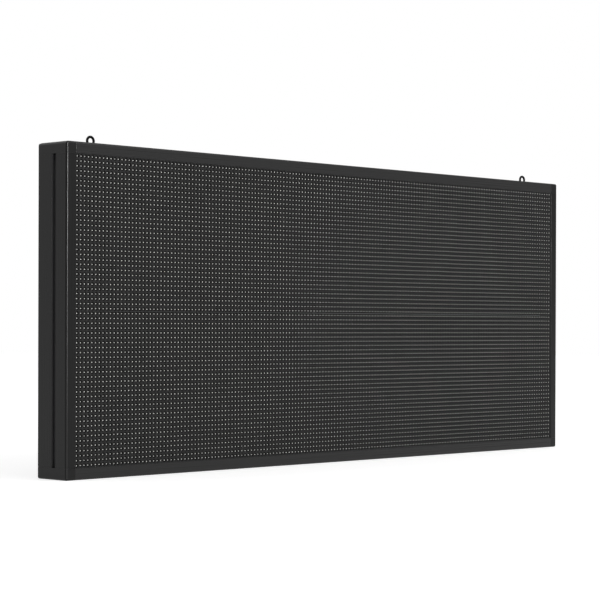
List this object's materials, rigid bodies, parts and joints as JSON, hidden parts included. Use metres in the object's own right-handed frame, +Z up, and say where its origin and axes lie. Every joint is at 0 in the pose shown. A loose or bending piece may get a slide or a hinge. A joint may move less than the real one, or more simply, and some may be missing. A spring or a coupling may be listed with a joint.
{
  "type": "programmable led sign",
  "caption": "Flat rectangular LED matrix sign: a black pixel grid in a slim T-slot frame with moulded corners, hanging eyes on top and a vented rear cover.",
  "frame": {"origin": "on the ground plane under the middle of the sign, halfway between its front and back faces", "axes": "+Z up; the display faces -Y; +X to the right as the display is read"},
  "size_m": [0.8246, 0.0464, 0.354],
  "materials": {
    "black_anodised_aluminium": "black anodised, satin",
    "black_moulded_nylon": "moulded, fine texture",
    "mask_polycarbonate": "moulded, matt black",
    "black_circuit_board": "black solder mask",
    "kit_polycarbonate": "moulded, matt black",
    "led_resin": "pale cast resin",
    "zinc_plated_steel": "zinc plated",
    "supply_case": "mill finish sheet",
    "lead_insulation": "extruded vinyl",
    "ribbon_insulation": "grey vinyl",
    "green_circuit_board": "green solder mask",
    "black_coated_sheet": "black powder coat",
    "grommet_rubber": "moulded rubber",
    "blackened_steel": "black oxide"
  },
  "bodies": {
    "root": {"frame_rail_top": "black_anodised_aluminium", "frame_rail_bottom": "black_anodised_aluminium", "frame_rail_left": "black_anodised_aluminium", "frame_rail_right": "black_anodised_aluminium", "corner_upper_left": "black_moulded_nylon", "corner_upper_right": "black_moulded_nylon", "corner_lower_left": "black_moulded_nylon", "corner_lower_right": "black_moulded_nylon", "led_mask_row_1_1": "mask_polycarbonate", "led_board_row_1_1": "black_circuit_board", "module_kit_row_1_1": "kit_polycarbonate", "led_mask_row_1_2": "mask_polycarbonate", "led_board_row_1_2": "black_circuit_board", "module_kit_row_1_2": "kit_polycarbonate", "led_mask_row_1_3": "mask_polycarbonate", "led_board_row_1_3": "black_circuit_board", "module_kit_row_1_3": "kit_polycarbonate", "led_mask_row_1_4": "mask_polycarbonate", "led_board_row_1_4": "black_circuit_board", "module_kit_row_1_4": "kit_polycarbonate", "led_mask_row_1_5": "mask_polycarbonate", "led_board_row_1_5": "black_circuit_board", "module_kit_row_1_5": "kit_polycarbonate", "led_packages_row_1": "led_resin", "led_mask_row_2_1": "mask_polycarbonate", "led_board_row_2_1": "black_circuit_board", "module_kit_row_2_1": "kit_polycarbonate", "led_mask_row_2_2": "mask_polycarbonate", "led_board_row_2_2": "black_circuit_board", "module_kit_row_2_2": "kit_polycarbonate", "led_mask_row_2_3": "mask_polycarbonate", "led_board_row_2_3": "black_circuit_board", "module_kit_row_2_3": "kit_polycarbonate", "led_mask_row_2_4": "mask_polycarbonate", "led_board_row_2_4": "black_circuit_board", "module_kit_row_2_4": "kit_polycarbonate", "led_mask_row_2_5": "mask_polycarbonate", "led_board_row_2_5": "black_circuit_board", "module_kit_row_2_5": "kit_polycarbonate", "led_packages_row_2": "led_resin", "module_bar_top": "zinc_plated_steel", "module_bar_centre": "zinc_plated_steel", "module_bar_bottom": "zinc_plated_steel", "power_supply": "supply_case", "power_leads": "lead_insulation", "ribbon_cables": "ribbon_insulation", "controller_card": "green_circuit_board", "rear_cover": "black_coated_sheet", "cable_grommet": "grommet_rubber", "eye_bolts": "blackened_steel", "slot_nuts": "zinc_plated_steel"}
  },
  "joints": []
}
